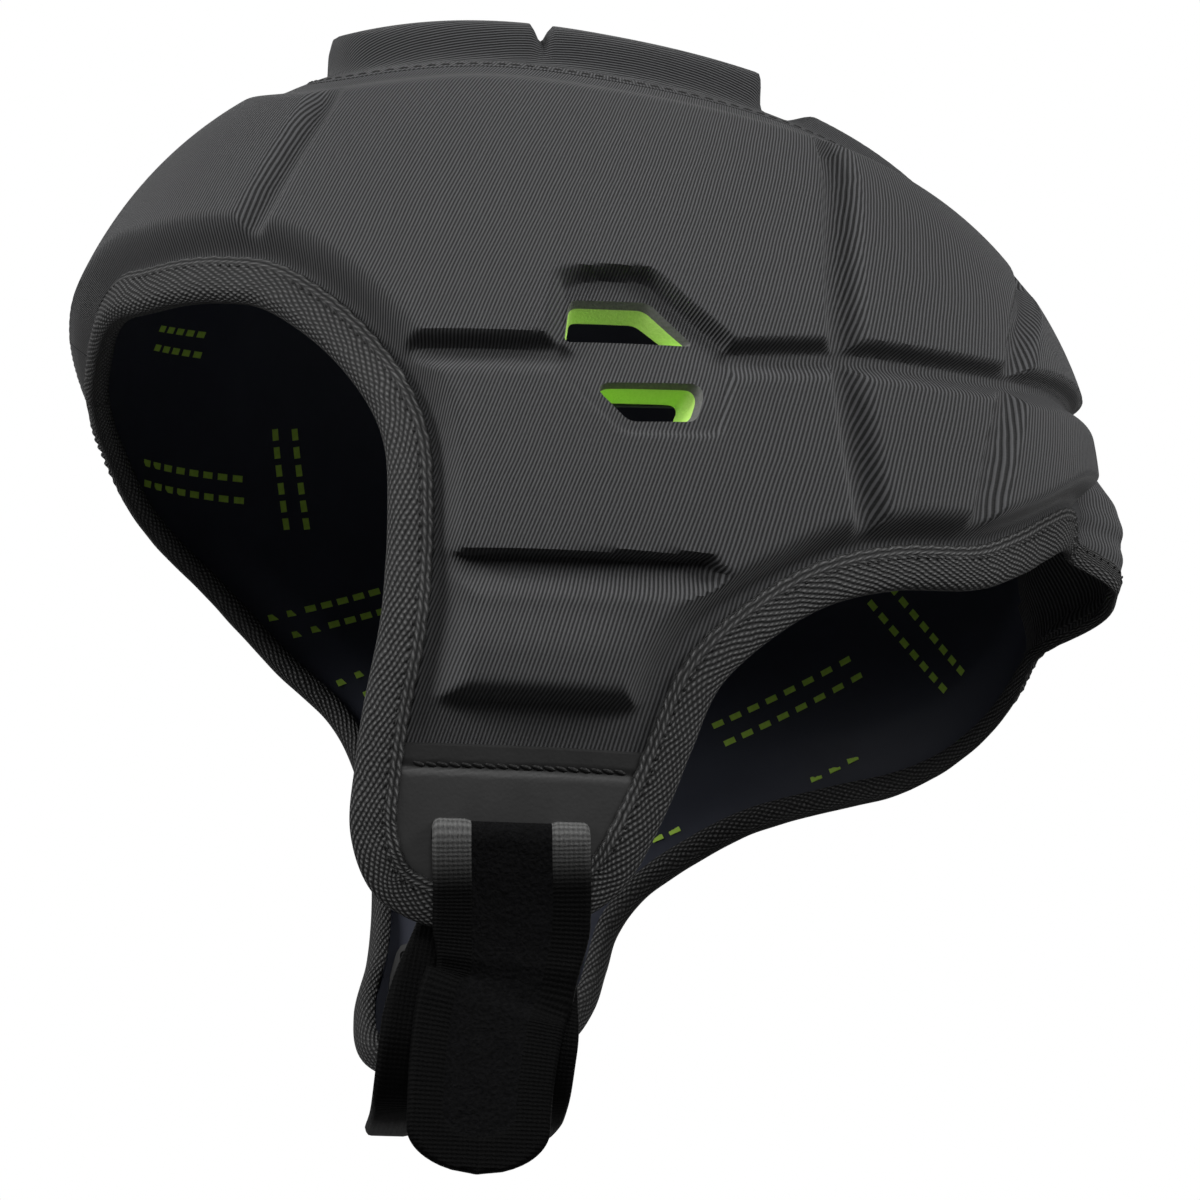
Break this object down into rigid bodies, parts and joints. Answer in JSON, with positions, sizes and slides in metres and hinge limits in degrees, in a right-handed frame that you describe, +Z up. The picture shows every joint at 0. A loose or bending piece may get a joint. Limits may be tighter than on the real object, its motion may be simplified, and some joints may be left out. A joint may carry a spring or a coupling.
{
  "type": "soft shell helmet",
  "caption": "Padded soft shell sport helmet with moulded foam pads, side vents, bound face and neck openings, cheek tabs and a fastened chin strap.",
  "frame": {"origin": "Inside of the crown, where the top of the head meets the lining", "axes": "+X is the wearer's left, -Y the front with the face opening, +Z up"},
  "size_m": [0.1826, 0.2238, 0.2589],
  "materials": {
    "knit": "fine ribbed knit over foam",
    "lining_cloth": "smooth printed cloth",
    "tape": "herringbone tape",
    "faux_leather": "smooth grain",
    "loop_pile": "fuzzy loop pile with woven edges"
  },
  "bodies": {
    "root": {"side_panel_left": "knit", "side_panel_right": "knit", "crown_panel": "knit", "back_panel": "knit", "lining": "lining_cloth", "edge_binding": "tape", "tab_facing_left": "faux_leather", "tab_facing_right": "faux_leather", "tab_backing_left": "faux_leather", "tab_backing_right": "faux_leather", "chin_strap": "loop_pile"}
  },
  "joints": []
}
